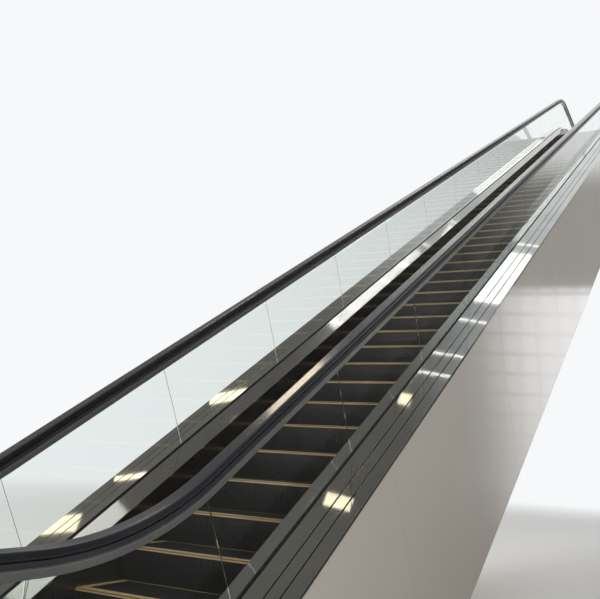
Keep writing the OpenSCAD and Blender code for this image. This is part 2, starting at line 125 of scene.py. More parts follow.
# Mesh gathered from arrays of points, quads and closing polygons
class Shape:
    def __init__(self):
        self.points, self.quads, self.caps, self.uvs = [], [], [], []
        self.count = 0

    # grid[i, j] is closed in j and capped at both ends of i, so it is a shell. U runs with i, V with j.
    # Its signed volume, summed over fans of triangles in each face, says whether it is inside out
    def tube(self, grid, along=None, across=None):
        rows, columns = grid.shape[:2]
        index = np.arange(rows * columns).reshape(rows, columns)
        near, far = index[:-1], index[1:]
        quads = np.stack([near, far, np.roll(far, -1, 1), np.roll(near, -1, 1)], -1).reshape(-1, 4)
        u = np.arange(rows, dtype=float) if along is None else along
        v = np.arange(columns + 1, dtype=float) if across is None else across
        uv = np.stack(np.meshgrid(u, v, indexing="ij"), -1)
        uvQuads = np.stack([uv[:-1, :-1], uv[1:, :-1], uv[1:, 1:], uv[:-1, 1:]], 2).reshape(-1, 4, 2)
        flat = grid.reshape(-1, 3)
        caps = [index[0], index[-1][::-1]]
        volume = 0.0
        for faces in (quads, caps[0][None], caps[1][None]):
            p = flat[faces] - flat.mean(0)
            volume += np.einsum("ik,ijk->", p[:, 0], np.cross(p[:, 1:-1], p[:, 2:]))
        if volume < 0:
            quads, uvQuads = quads[:, ::-1], uvQuads[:, ::-1]
            caps = [cap[::-1] for cap in caps]
        self.quads.append(quads + self.count)
        self.uvs.append(uvQuads)
        self.caps += [cap + self.count for cap in caps]
        self.points.append(flat)
        self.count += len(flat)

    # corners[n, 2, 4] are the bottom and top rings of n small blocks, counter-clockwise from above;
    # V is 1 on their tops, where shoes rub
    def blocks(self, corners):
        n = len(corners)
        faces = np.array([[3, 2, 1, 0], [4, 5, 6, 7], [0, 1, 5, 4], [1, 2, 6, 5], [2, 3, 7, 6], [3, 0, 4, 7]])
        self.quads.append((faces + 8 * np.arange(n)[:, None, None]).reshape(-1, 4) + self.count)
        uv = np.zeros((n, 6, 4, 2))
        uv[:, 1, :, 1] = 1.0
        self.uvs.append(uv.reshape(-1, 4, 2))
        self.points.append(corners.reshape(-1, 3))
        self.count += 8 * n

    # The piece of all faces so far; smoothAngle is the least angle between faces that stays sharp
    def piece(self, name, finish, replaced=None, smoothAngle=None):
        quads = np.concatenate(self.quads)
        corners = np.concatenate([quads.ravel()] + self.caps).astype(np.int32)
        sizes = np.array([4] * len(quads) + [len(cap) for cap in self.caps])
        mesh = bpy.data.meshes.new(name)
        mesh.vertices.add(self.count)
        mesh.vertices.foreach_set("co", np.concatenate(self.points).astype(np.float32).ravel())
        mesh.loops.add(len(corners))
        mesh.loops.foreach_set("vertex_index", corners)
        mesh.polygons.add(len(sizes))
        mesh.polygons.foreach_set("loop_start", (np.cumsum(sizes) - sizes).astype(np.int32))
        mesh.update(calc_edges=True)
        uv = np.zeros((len(corners), 2), np.float32)
        uv[:quads.size] = np.concatenate(self.uvs).reshape(-1, 2)
        mesh.uv_layers.new(name="surface").data.foreach_set("uv", uv.ravel())
        mesh.validate()
        mesh.materials.append(finishes[finish])
        mesh.polygons.foreach_set("use_smooth", np.full(len(sizes), bool(smoothAngle)))
        if smoothAngle:
            mesh.set_sharp_from_angle(angle=math.radians(smoothAngle))
        made = bpy.data.objects.new(name, mesh)
        scene.collection.objects.link(made)
        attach(made, "root")
        if replaced:
            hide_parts(replaced)


# Corners of blocks from their x, y and z, each in a shape that spreads to (blocks, 2, 4)
def rings(x, y, z):
    arrays = np.broadcast_arrays(*(np.asarray(v, float) for v in (x, y, z)))
    return np.stack(arrays, -1).reshape(-1, 2, 4, 3)


# Middles of as many ribs as fit across a width, one pitch apart and centred
def centres(width, pitch):
    count = int(width / pitch)
    return (np.arange(count) - (count - 1) / 2) * pitch


# A closed section of [y, n] points carried along a run: each point goes n square to the heading
def carried(shape, run, s, section, sign):
    x, z, h = pointsOn(run, s)
    y, n = section[:, 0], section[:, 1]
    grid = np.empty((len(s), len(section), 3))
    grid[..., 0] = x[:, None] - n[None] * np.sin(h)[:, None]
    grid[..., 1] = sign * y[None]
    grid[..., 2] = z[:, None] + n[None] * np.cos(h)[:, None]
    closed = np.vstack([section, section[:1]])
    across = np.concatenate([[0], np.cumsum(np.hypot(*np.diff(closed, axis=0).T))])
    shape.tube(grid, s, across)


# Section corners rounded by arcs: each corner becomes points on a circle tangent to its two sides,
# with one more point held just outside each end, so that smooth shading leaves the flats flat
def rounded(corners, radii, arcParts=4, holdShare=0.25, holdMost=0.0006):
    corners = np.asarray(corners, float)
    out = []
    for k, r in enumerate(radii):
        p, q, w = corners[k - 1], corners[k], corners[(k + 1) % len(corners)]
        if r <= 0:
            out.append(q)
            continue
        u = (p - q) / np.linalg.norm(p - q)
        v = (w - q) / np.linalg.norm(w - q)
        half = math.acos(np.clip(u @ v, -1, 1)) / 2
        reach = r / math.tan(half)
        centre = q + (u + v) / np.linalg.norm(u + v) * r / math.sin(half)
        start, end = q + u * reach - centre, q + v * reach - centre
        t = np.linspace(0, 1, arcParts + 1)[:, None]
        turn = math.pi - 2 * half
        arc = (np.sin((1 - t) * turn) * start + np.sin(t * turn) * end) / math.sin(turn)
        hold = reach + min(holdShare * r, holdMost)
        out += [q + u * hold] + list(centre + arc) + [q + v * hold]
    return np.array(out)


# The right half of a section, from the middle below outward and up, joined to its mirror image
def mirrored(right, radii, arcParts=3):
    return rounded(right + [(-y, n) for y, n in right[::-1]], radii + radii[::-1], arcParts)


# A socket is linked from another socket, or takes a plain number or colour
def feed(tree, socket, value):
    if isinstance(value, bpy.types.NodeSocket):
        tree.links.new(value, socket)
    else:
        socket.default_value = (*value, 1.0) if isinstance(value, tuple) else value


# A node of some kind with its properties set, whose sockets are fed by name or by number
def added(tree, kind, values, **properties):
    node = tree.nodes.new("ShaderNode" + kind)
    for label, value in properties.items():
        setattr(node, label, value)
    for label, value in values.items():
        feed(tree, node.inputs[label], value)
    return node.outputs


# One operation on its values, such as their sum, product or greatest
def calc(tree, operation, *values):
    return added(tree, "Math", dict(enumerate(values)), operation=operation)[0]


# The first tone, plus the share times what the second differs from it
def toneMix(tree, first, second, share):
    return added(tree, "Mix", {"A": first, "B": second, "Factor": share}, data_type="RGBA")["Result"]


# Noise at scale times the vector, summed over octaves of half the size each, as many as the detail says
def noise(tree, vector, scale, detail):
    return added(tree, "TexNoise", {"Vector": vector, "Scale": scale, "Detail": detail})["Fac"]


# A value taken from low..high to 0..1, or to a range of its own, eased at both ends or not
def ranged(tree, value, low, high, easing="SMOOTHSTEP", to=(0.0, 1.0)):
    limits = {"From Min": low, "From Max": high, "To Min": to[0], "To Max": to[1]}
    return added(tree, "MapRange", {"Value": value, **limits}, interpolation_type=easing)[0]


# The place of a point in its object, or the distances along and across its section under "UV"
def coordinates(tree, kind="Object"):
    return added(tree, "TexCoord", {})[kind]


# The X, Y and Z of a vector
def axesOf(tree, vector):
    return added(tree, "SeparateXYZ", {0: vector})


# A group with a Vector and named numbers going in, and masks coming out
def nodeGroup(name, numbers, outputs):
    group = bpy.data.node_groups.new(name, "ShaderNodeTree")
    group.interface.new_socket("Vector", in_out="INPUT", socket_type="NodeSocketVector")
    for label, value in numbers.items():
        group.interface.new_socket(label, in_out="INPUT", socket_type="NodeSocketFloat").default_value = value
    for label in outputs:
        group.interface.new_socket(label, in_out="OUTPUT", socket_type="NodeSocketFloat")
    return group, group.nodes.new("NodeGroupInput").outputs, group.nodes.new("NodeGroupOutput").inputs


# Hairlines: noise on X times Along and Y times Across, taken from its middle values to Low..High
def drawnLinesGroup(detail=3.0, least=0.3, most=0.7):
    numbers = {"Along": 1.5, "Across": 900.0, "Low": 0.1, "High": 0.3}
    group, given, put = nodeGroup("drawnLines", numbers, ["Roughness"])
    axes = axesOf(group, given["Vector"])
    joined = added(group, "CombineXYZ", {
        "X": calc(group, "MULTIPLY", axes["X"], given["Along"]),
        "Y": calc(group, "MULTIPLY", axes["Y"], given["Across"]),
        "Z": axes["Z"],
    })
    lines = noise(group, joined[0], 1.0, detail)
    rough = ranged(group, lines, least, most, "LINEAR", (given["Low"], given["High"]))
    feed(group, put["Roughness"], rough)
    return group


# Handling film: broad cloudy noise above its middle, times Amount, as a mask, and a finer grain beside it
def handlingFilmGroup(patchDetail=5.0, grainDetail=2.0, least=0.42, most=0.72):
    numbers = {"Patch": 1.4, "Grain": 60.0, "Amount": 0.5}
    group, given, put = nodeGroup("handlingFilm", numbers, ["Mask", "Fine"])
    broad = noise(group, given["Vector"], given["Patch"], patchDetail)
    cloudy = ranged(group, broad, least, most, "LINEAR")
    feed(group, put["Mask"], calc(group, "MULTIPLY", cloudy, given["Amount"]))
    feed(group, put["Fine"], noise(group, given["Vector"], given["Grain"], grainDetail))
    return group


drawnLines = drawnLinesGroup()
handlingFilm = handlingFilmGroup()


# A shader with a base colour, whose constants go to its own sockets
def newMaterial(name, base, constants):
    material = bpy.data.materials.new(name)
    material.use_nodes = True
    shader = material.node_tree.nodes["Principled BSDF"]
    for label, value in {"Base Color": base, **constants}.items():
        feed(material.node_tree, shader.inputs[label], value)
    material.diffuse_color = (*base, 1.0)
    return material, material.node_tree, shader.inputs


# A shared group in a tree, with its vector and its numbers
def placed(tree, group, vector, **values):
    return added(tree, "Group", {"Vector": vector, **values}, node_tree=group)


# Two tones in soft patches under a fine relief. film is the scale of patches and grain, and how far
# the second tone comes in; relief is the bump's strength and depth; lines are hairlines in the
# roughness, by their coordinates, scale along and across, least and most
def patchedMaterial(name, first, second, film, relief, constants, lines=None):
    material, tree, sockets = newMaterial(name, first, constants)
    patches = placed(tree, handlingFilm, coordinates(tree), Patch=film[0], Grain=film[1], Amount=film[2])
    feed(tree, sockets["Base Color"], toneMix(tree, first, second, patches["Mask"]))
    bump = {"Strength": relief[0], "Distance": relief[1], "Height": patches["Fine"]}
    feed(tree, sockets["Normal"], added(tree, "Bump", bump)["Normal"])
    if lines:
        kind, along, across, low, high = lines
        numbers = {"Along": along, "Across": across, "Low": low, "High": high}
        drawn = placed(tree, drawnLines, coordinates(tree, kind), **numbers)
        feed(tree, sockets["Roughness"], drawn["Roughness"])
    return material


# Polished stainless steel with faint hairlines along its length
def steelMaterial(name, dark, light, low, high):
    return patchedMaterial(name, light, dark, film=(1.1, 2.6, 0.8), relief=(0.3, 0.0004),
                           constants={"Metallic": 1.0}, lines=("UV", 0.6, 260.0, low, high))


# Gloss paint on sheet: a clear coat over colour, with the faint waves of thin panels
def sheetPaint(name, base, second, roughness, coat, waves, depth):
    constants = {"Roughness": roughness, "Coat Weight": coat, "Coat Roughness": 0.04}
    return patchedMaterial(name, base, second, film=(0.5, waves, 0.5), relief=(0.25, depth),
                           constants=constants)


# Rubber with a fine pitted skin, cleaner and duller in patches
def rubberMaterial(name, dark, light, roughness, coat):
    constants = {"Roughness": roughness, "Coat Weight": coat, "Coat Roughness": 0.08, "Sheen Weight": 0.1}
    return patchedMaterial(name, dark, light, film=(2.0, 500.0, 0.7), relief=(0.08, 0.0003),
                           constants=constants)


# Black enamel on the skirt, rubbed by passing shoes: drawn hairlines over a dull gloss
def skirtMaterial(name, dark, light, low, high):
    constants = {"Specular IOR Level": 1.0, "Coat Weight": 0.35, "Coat Roughness": 0.22}
    return patchedMaterial(name, dark, light, film=(1.6, 3.0, 0.8), relief=(0.2, 0.0002),
                           constants=constants, lines=("Object", 0.4, 300.0, low, high))


# Cast, extruded or primed metal with a grain
def alloyMaterial(name, dark, light, roughness, metallic, grain=220.0):
    return patchedMaterial(name, dark, light, film=(3.0, grain, 0.9), relief=(0.15, 0.0004),
                           constants={"Metallic": metallic, "Roughness": roughness})


# Dark cast steps: the tops of the cleats, where V is 1, are rubbed brighter and smoother in patches
def treadMaterial(name, dark, light, worn, rough=0.40, rubbedBy=-0.10):
    material = patchedMaterial(name, dark, light, film=(1.3, 220.0, 0.7), relief=(0.15, 0.0004),
                               constants={"Metallic": 0.6})
    tree = material.node_tree
    sockets = tree.nodes["Principled BSDF"].inputs
    rubbed = placed(tree, handlingFilm, coordinates(tree), Patch=2.2, Grain=90.0, Amount=0.5)
    wear = calc(tree, "MULTIPLY", axesOf(tree, coordinates(tree, "UV"))["Y"], rubbed["Mask"])
    cast = sockets["Base Color"].links[0].from_socket
    feed(tree, sockets["Base Color"], toneMix(tree, cast, worn, wear))
    feed(tree, sockets["Roughness"], calc(tree, "MULTIPLY_ADD", wear, rubbedBy, rough))
    return material


# Clear glass whose thickness gives the green: light fades exponentially with the way through it, at the
# rate of the density times what the tint lacks of white
def glassMaterial():
    material, tree, _ = newMaterial("balustradeGlass", (0.97, 0.99, 0.98), {
        "Roughness": 0.0, "Transmission Weight": 1.0, "IOR": 1.5})
    tint = added(tree, "VolumeAbsorption", {"Color": (0.55, 0.86, 0.74), "Density": 6.0})
    feed(tree, tree.nodes["Material Output"].inputs["Volume"], tint["Volume"])
    return material


finishes = {
    "steps": treadMaterial("stepAlloy", (0.072, 0.071, 0.073), (0.108, 0.107, 0.110), (0.17, 0.17, 0.175)),
    "edges": alloyMaterial("insertYellow", (0.54, 0.38, 0.19), (0.68, 0.50, 0.28), 0.45, 0.0, 120.0),
    "combs": alloyMaterial("combAlloy", (0.30, 0.30, 0.29), (0.42, 0.42, 0.41), 0.38, 1.0),
    "plates": alloyMaterial("plateAlloy", (0.33, 0.33, 0.32), (0.46, 0.46, 0.45), 0.36, 1.0, 90.0),
    "skirt": skirtMaterial("skirtBlack", (0.026, 0.025, 0.022), (0.045, 0.043, 0.036), 0.20, 0.30),
    "outerDeck": steelMaterial("outerDeckSteel", (0.49, 0.48, 0.46), (0.60, 0.59, 0.57), 0.02, 0.05),
    "innerDeck": steelMaterial("innerDeckSteel", (0.49, 0.48, 0.46), (0.59, 0.58, 0.565), 0.03, 0.07),
    "guide": alloyMaterial("channelAlloy", (0.50, 0.50, 0.495), (0.60, 0.60, 0.595), 0.36, 0.86, 60.0),
    "carrier": alloyMaterial("carrierAlloy", (0.12, 0.12, 0.14), (0.16, 0.16, 0.18), 0.36, 0.75),
    "clamp": alloyMaterial("clampAlloy", (0.16, 0.16, 0.15), (0.24, 0.24, 0.23), 0.3, 1.0),
    "newel": alloyMaterial("newelSteel", (0.30, 0.30, 0.28), (0.42, 0.42, 0.40), 0.22, 1.0, 30.0),
    "glass": glassMaterial(),
    "rail": rubberMaterial("railRubber", (0.009, 0.010, 0.014), (0.017, 0.019, 0.027), 0.20, 0.30),
    "seal": rubberMaterial("sealRubber", (0.010, 0.010, 0.010), (0.02, 0.02, 0.02), 0.55, 0.0),
    "cladding": sheetPaint("claddingWhite", (0.61, 0.565, 0.50), (0.555, 0.51, 0.45), 0.22, 1.0, 2.2, 0.004),
    "soffit": sheetPaint("soffitCream", (0.60, 0.54, 0.44), (0.54, 0.48, 0.38), 0.35, 0.3, 1.5, 0.001),
    "truss": alloyMaterial("trussPrimer", (0.09, 0.09, 0.095), (0.14, 0.14, 0.14), 0.6, 0.0),
}
print("materials:", len(finishes))

# Nodes whose shape stays as it is, by their finish
plainNodes = {
    "glass": ["right_glass", "left_glass", "right_end_glass", "left_end_glass"],
    "skirt": ["right_skirt", "left_skirt"],
    "cladding": ["right_cladding", "left_cladding"],
    "soffit": ["incline_soffit", "upper_soffit", "upper_end_panel"],
    "truss": ["landing_pan", "incline_truss", "upper_truss", "right_truss_side", "left_truss_side",
              "upper_bearing"],
    "plates": ["lower_floor_plate", "upper_floor_plate"],
    "combs": ["lower_comb_plate", "upper_comb_plate"],
    "newel": ["lower_newel_bases", "upper_newel_bases"],
    "clamp": ["right_glass_base", "left_glass_base"],
}
for key, names in plainNodes.items():
    for name in names:
        mesh = cadNodes[name].data
        mesh.materials.clear()
        mesh.materials.append(finishes[key])

# Steps: a body with a curved riser, and a rib for every cleat
steps = {
    "cleatPitch": 0.009,
    "cleatHeight": 0.009,
    "cleatFoot": 0.0042,
    "cleatTop": 0.0028,
    "cleatMargin": 0.004,            # width that stays free of cleats
    "cleatSink": 0.001,              # how deep the ribs start inside the body
    "riserDepth": 0.006,
    "riserParts": 4,
    "edgeWidth": 0.045,
    "backLine": 0.012,
    "treadSlab": 0.022,
    "seatX": 0.075,                  # where the sloping underside starts
    "insertPlate": 0.004,
    "insertRib": (0.0066, 0.0056),   # widths at foot and top
    "insertSink": 0.0005,
    "lipHeight": 0.018,
    "lipThick": 0.005,
    "groups": 4,
}
firstSlope = math.ceil((curveEnd + layout["levelRun"]) / layout["pitch"]) + 1
lastSlope = math.floor((slopeEnd + layout["levelRun"]) / layout["pitch"]) - 1
groupSize = math.ceil((lastSlope - firstSlope + 1) / steps["groups"])


# Middles of the cleats across a half width to both sides, less the margin that stays free
def cleatCentres(half):
    return centres(2 * half - steps["cleatMargin"], steps["cleatPitch"])


# Tapered ribs between two x, one for each y, from a wide foot to a narrow top
def ribs(x0, x1, zFoot, zTop, y, foot, top):
    halves = np.outer([foot, top], [-0.5, -0.5, 0.5, 0.5])
    return rings([x0, x1, x1, x0], y[:, None, None] + halves, [[zFoot], [zTop]])


# One step. At h below the nose its riser lies r - sqrt(r r - h h) behind it, an arc about the back
# edge with the tread's depth r, and the grooves between its ribs follow a smaller arc about that edge
def stepBody(shape, index):
    x, z = noseAt([index - 1, index, index + 1])
    drop = z[1] - z[0] + steps["treadSlab"]
    lean = (z[1] - z[0]) / (x[2] - x[1])
    r, half, tread = layout["treadDepth"], layout["halfStep"], -steps["cleatHeight"]
    h = np.linspace(steps["lipHeight"], drop, steps["riserParts"] + 2)
    groove = r - steps["riserDepth"]
    outer = r - np.sqrt(r * r - h * h)
    inner = r - np.sqrt(groove ** 2 - np.minimum(h, groove) ** 2)
    front = [(steps["lipThick"], tread), (steps["lipThick"], -steps["lipHeight"])]
    rear = [(steps["seatX"], -drop), (r, (r - steps["seatX"]) * lean - drop), (r, tread)]
    loop = np.vstack([front, np.stack([inner, -h], 1), rear])
    grid = np.zeros((2, len(loop), 3))
    grid[..., 0] = x[1] + loop[:, 0]
    grid[..., 1] = [[-half], [half]]
    grid[..., 2] = z[1] + loop[:, 1]
    shape.tube(grid)
    edge, back, sink = steps["edgeWidth"], steps["backLine"], steps["cleatSink"]
    foot, top = steps["cleatFoot"], steps["cleatTop"]
    shape.blocks(ribs(x[1] + edge, x[1] + r - back, z[1] + tread - sink, z[1], cleatCentres(half - edge),
                      foot, top))
    y = cleatCentres(half)[:, None, None] + np.array([-top, -foot, foot, top]) / 2
    face = x[1] + np.stack([outer, inner + sink, inner + sink, outer], -1)
    for k in range(len(h) - 1):
        levels = [k + 1, k]
        shape.blocks(rings(face[levels], y, z[1] - h[levels, None]))


# The yellow inserts of one step: a thin plate along each edge with ribs on it, and a lip at the nose
def stepInserts(shape, index):
    (x,), (z,) = noseAt([index])
    half, depth, edge, back = layout["halfStep"], layout["treadDepth"], steps["edgeWidth"], steps["backLine"]
    inner = half - edge
    low = z - steps["cleatHeight"]
    mid = low + steps["insertPlate"]
    slabs = [(0.0, edge, -half, half, low), (edge, depth, -half, -inner, low),
             (edge, depth, inner, half, low), (depth - back, depth, -inner, inner, low),
             (0.0, steps["lipThick"], -half, half, z - steps["lipHeight"])]
    for x0, x1, y0, y1, base in slabs:
        shape.blocks(rings(x + np.array([x0, x1, x1, x0]), [y0, y0, y1, y1], [[base], [mid]]))
    y = cleatCentres(half)
    middle, ends = y[np.abs(y) < inner], y[np.abs(y) > inner]
    for x0, x1, middles in ((0.0, edge, y), (depth - back, depth, middle), (edge, depth, ends)):
        shape.blocks(ribs(x + x0, x + x1, mid - steps["insertSink"], z, middles, *steps["insertRib"]))


# Pieces of several steps, from first to last
def stepPieces(ranges, build, prefix, finish):
    for node, (first, last) in ranges.items():
        shape = Shape()
        for index in range(first, last + 1):
            build(shape, index)
        shape.piece(prefix + node, finish, node)


lowerRange, upperRange = (0, firstSlope - 1), (lastSlope + 1, stepCount - 1)
stepGroups = {"lower_steps": lowerRange, "upper_steps": upperRange}
for g in range(steps["groups"]):
    first = firstSlope + g * groupSize
    stepGroups["incline_steps_%d" % (g + 1)] = (first, min(first + groupSize - 1, lastSlope))
edgeGroups = {"lower_step_edges": lowerRange, "incline_step_edges": (firstSlope, lastSlope),
              "upper_step_edges": upperRange}
stepPieces(stepGroups, stepBody, "cleated_", "steps")
stepPieces(edgeGroups, stepInserts, "ribbed_", "edges")
print("steps:", stepCount)

# Combs: tapered teeth that dip between the cleats, in segments held by two screws each
combs = {
    "strip": 0.070,              # depth beyond the comb line
    "gap": 0.004,
    "reach": 0.035,              # length of the teeth over the steps
    "height": 0.006,
    "slope": 0.010,              # run of the sloping back edge
    "rootWidth": 0.0042,
    "tipWidth": 0.0022,
    "rootSink": 0.001,
    "tipSink": 0.001,            # top of the tips below the treads
    "toothSink": 0.003,
    "segments": 5,
    "split": 0.0012,
    "screw": (0.0048, 0.0012),   # radius and height of a head
    "screwRow": 0.024,
    "screwApart": 0.110,
}


# Upright screw heads: rings of a low turned profile round each place, with a sunk socket in the middle
def screwHeads(shape, places, radius, height, corners=12):
    profile = np.array([(1.0, -0.5), (1.0, 0.5), (0.84, 1.0), (0.42, 1.0), (0.38, 0.1)]) * [radius, height]
    angle = np.arange(corners) * 2 * math.pi / corners
    disc = np.stack([np.cos(angle), np.sin(angle)], -1)
    for place in places:
        grid = np.empty((len(profile), corners, 3))
        grid[..., :2] = profile[:, None, :1] * disc + np.array(place[:2])
        grid[..., 2] = place[2] + profile[:, 1:]
        shape.tube(grid)


# One comb: x is the comb line plus or minus the distances d over the steps, by the way it faces. Its
# segments are blocks with a sloping back, and its teeth narrow and sink from root to tip
def comb(name, node, combX, z, way):
    shape = Shape()
    x = lambda *d: combX + way * np.array(d)
    back, front, height = -combs["strip"], -combs["gap"], combs["height"]
    crest = back + combs["slope"]
    cuts = np.linspace(-layout["halfStep"], layout["halfStep"], combs["segments"] + 1)[:, None, None]
    low, high = cuts[:-1] + combs["split"] / 2, cuts[1:] - combs["split"] / 2
    segments = rings([x(back, front, front, back), x(crest, front, front, crest)],
                     np.concatenate([low, low, high, high], -1), [[z], [z + height]])
    shape.blocks(segments[:, :, ::way])
    rows = ((cuts[:-1] + cuts[1:]) / 2 + np.array([-1, 1]) * combs["screwApart"] / 2).ravel()
    screwHeads(shape, [(x(back + combs["screwRow"])[0], y, z + height) for y in rows], *combs["screw"])
    y = cleatCentres(layout["halfStep"])
    root, tip, sunk = front - combs["rootSink"], combs["reach"], -combs["tipSink"]
    widths = np.array([-combs["rootWidth"], -combs["tipWidth"], combs["tipWidth"], combs["rootWidth"]])
    teeth = rings(x(root, tip, tip, root), ((y[:-1] + y[1:]) / 2)[:, None, None] + widths / 2,
                  z + np.array([[-combs["toothSink"]] * 4, [height, sunk, sunk, height]]))
    shape.blocks(teeth[:, :, ::way])
    shape.piece(name, "combs", node)


comb("lower_comb_teeth", "lower_comb", lowerCombX, layout["floor"], 1)
comb("upper_comb_teeth", "upper_comb", upperCombX, topZ, -1)

# Ribbed tread and screws of the floor plates and comb plates
plateRibs = {"pitch": 0.012, "height": 0.0018, "foot": 0.006, "top": 0.004, "margin": 0.02, "sink": 0.0004}
plateScrews = {"edge": 0.0100, "across": 5, "radius": 0.0050, "height": 0.0008, "plug": 0.0075,
               "lifting": 0.24, "sharp": 30}
landing = {"length": 1.460, "combPlate": 0.330, "fullHalf": 0.906, "midHalf": 0.503, "joint": 0.003}


# Ribs along a plate between two x, as many as fit between its margins
def ribbedPlate(name, finish, x0, x1, half, z):
    margin = plateRibs["margin"]
    y = centres(2 * half - 2 * margin, plateRibs["pitch"])
    shape = Shape()
    shape.blocks(ribs(x0 + margin, x1 - margin, z - plateRibs["sink"], z + plateRibs["height"],
                      y, plateRibs["foot"], plateRibs["top"]))
    shape.piece(name, finish)


baseFace = layout["newelBack"] + layout["baseFront"]
middle = (baseFace + landing["length"]) / 2
plates = [(landing["length"], middle + landing["joint"], landing["fullHalf"]),      # far, near, half width
          (middle, baseFace + landing["joint"], landing["fullHalf"]),
          (baseFace, landing["combPlate"] + landing["joint"], landing["midHalf"])]
for label, combX, z, way in (("lower", lowerCombX, layout["floor"], 1), ("upper", upperCombX, topZ, -1)):
    screws = Shape()
    edge, height = plateScrews["edge"], plateScrews["height"]
    combPlate = (landing["combPlate"], combs["strip"], landing["midHalf"])
    for k, (far, near, half) in enumerate(plates + [combPlate]):
        x0, x1 = sorted((combX - way * far, combX - way * near))
        finish, slot = ("plates", "floor_plates") if k < len(plates) else ("combs", "combs")
        ribbedPlate("%s_plate_ribs_%d" % (label, k + 1), finish, x0, x1, half, z)
        if k < len(plates):
            along = combX - way * np.array([far - edge, near + edge])
            fixing = np.linspace(-half + edge, half - edge, plateScrews["across"])
            lifting = np.array([-1, 1]) * half * plateScrews["lifting"]
            for across, radius in ((fixing, plateScrews["radius"]), (lifting, plateScrews["plug"])):
                screwHeads(screws, [(x, y, z) for x in along for y in across], radius, height)
    screws.piece(label + "_plate_screws", "combs", None, plateScrews["sharp"])

# Brush that closes the newel mouth round the handrail: rows of tufts below and at both sides of it
brush = {
    "face": 0.060,                       # beyond the newel centre
    "depth": (0.002, 0.012),
    "pitch": 0.0036,
    "tuft": 0.0030,
    "rail": (0.0425, -0.0225),           # half width and lowest height round the rubber
    "mouth": (0.0535, -0.0295, 0.0495),  # half width, floor and roof of the mouth
    "level": 0.071,                      # the handrail's centre line above the landing
}


# Tufts as blocks: two rows up the sides of the mouth and one along its floor, up to the rubber
def mouthBrush(name, centreX, way, z):
    (inner, low), (outer, floor, roof), tuft = brush["rail"], brush["mouth"], brush["tuft"]
    up = np.arange(floor, roof - tuft, brush["pitch"])
    along = np.arange(-inner, inner - tuft, brush["pitch"])
    y0 = np.concatenate([np.full(len(up), inner), np.full(len(up), -outer), along])
    y1 = np.concatenate([np.full(len(up), outer), np.full(len(up), -inner), along + tuft])
    z0 = np.concatenate([up, up, np.full(len(along), floor)])
    z1 = np.concatenate([up + tuft, up + tuft, np.full(len(along), low)])
    x0, x1 = sorted(centreX + way * (d - brush["face"]) for d in brush["depth"])
    y = np.stack([y0, y0, y1, y1], -1)[:, None]
    levels = z + brush["level"] + np.stack([z0, z1], -1)[:, :, None]
    shape = Shape()
    for _, sign in sides:
        shape.blocks(rings([x0, x1, x1, x0], sign * layout["glassOut"] + y, levels))
    shape.piece(name, "seal")


mouthBrush("lower_inlet_brushes", lowerCombX - layout["newelBack"], 1, layout["floor"])
mouthBrush("upper_inlet_brushes", upperCombX + layout["newelBack"], -1, topZ)
print("combs and landings")

# Handrail: one rubber section from inlet to inlet, over its guide. Pairs are half width and height
handrail = {
    "height": 0.910,                 # top above the landings
    "lift": 0.058,                   # more above the nose line on the incline
    "width": 0.082,
    "thick": 0.038,
    "curveRadius": 2.0,
    "newelRadius": 0.410,
    "inlet": 0.120,                  # straight length into the newel base
    "lipGap": 0.020,
    "cavity": (0.028, -0.011, 0.004),    # half width, floor and roof of the hollow in the rubber
    "shoulders": (0.0205, 0.0165),       # radii below and above
    "lipRounds": (0.002, 0.001),
    "guideStem": 0.018,
    "guideHead": (0.026, -0.009),
    "headRoom": 0.0003,
    "carrier": (0.036, -0.0205, -0.040),
    "carrierRounds": [0.005, 0.004, 0, 0, 0, 0],
    "seam": (0.030, -0.044),
    "foot": (0.045, 0.043, -0.0755),     # half widths above and below, lower edge
    "footRounds": [0, 0.0008, 0.004, 0.0025, 0, 0],
    "slot": (0.0063, -0.0697),
    "spacing": (0.03, 1.0),
    "sharp": 40,
}


# The run of the handrail's middle: out of the lower newel base, half round the newel, up the incline
# through both bends, half round the upper newel and into its base
def railRun():
    r, n = handrail["curveRadius"], handrail["newelRadius"]
    tangent = r * math.tan(incline / 2)
    shift = -handrail["lift"] / math.tan(incline)
    z = layout["floor"] + handrail["height"] - handrail["thick"] / 2
    lowX = lowerCombX - layout["newelBack"]
    highX = upperCombX + layout["newelBack"]
    slope = layout["rise"] / math.sin(incline) - 2 * tangent
    parts = [(handrail["inlet"], 0.0), (n * math.pi, -math.pi), (shift - tangent - lowX, 0.0),
             (r * incline, incline), (slope, 0.0), (r * incline, -incline),
             (highX - upperX - shift - tangent, 0.0), (n * math.pi, -math.pi), (handrail["inlet"], 0.0)]
    return {"start": (lowX + handrail["inlet"], z - 2 * n), "heading": math.pi, "parts": parts}


# The rubber: a rectangle with well rounded shoulders and a hollow, open between two lips below
def railSection():
    w, h = handrail["width"] / 2, handrail["thick"] / 2
    half, low, high = handrail["cavity"]
    lip, (below, above), (outside, inside) = handrail["lipGap"], handrail["shoulders"], handrail["lipRounds"]
    corners = [(lip, -h), (w, -h), (w, h), (-w, h), (-w, -h), (-lip, -h), (-lip, low), (-half, low),
               (-half, high), (half, high), (half, low), (lip, low)]
    radii = [outside, below, above, above, below, outside, inside, 0, 0, 0, 0, inside]
    return rounded(corners, radii, arcParts=6)


# The dark carrier inside the rubber, down to its seam: half a head, stem and foot, mirrored
def carrierSection():
    stem, (headHalf, headLow) = handrail["guideStem"], handrail["guideHead"]
    wide, high, low = handrail["carrier"]
    top = handrail["cavity"][2] - handrail["headRoom"]
    return mirrored([(wide, low), (wide, high), (stem, high), (stem, headLow), (headHalf, headLow),
                     (headHalf, top)], handrail["carrierRounds"])


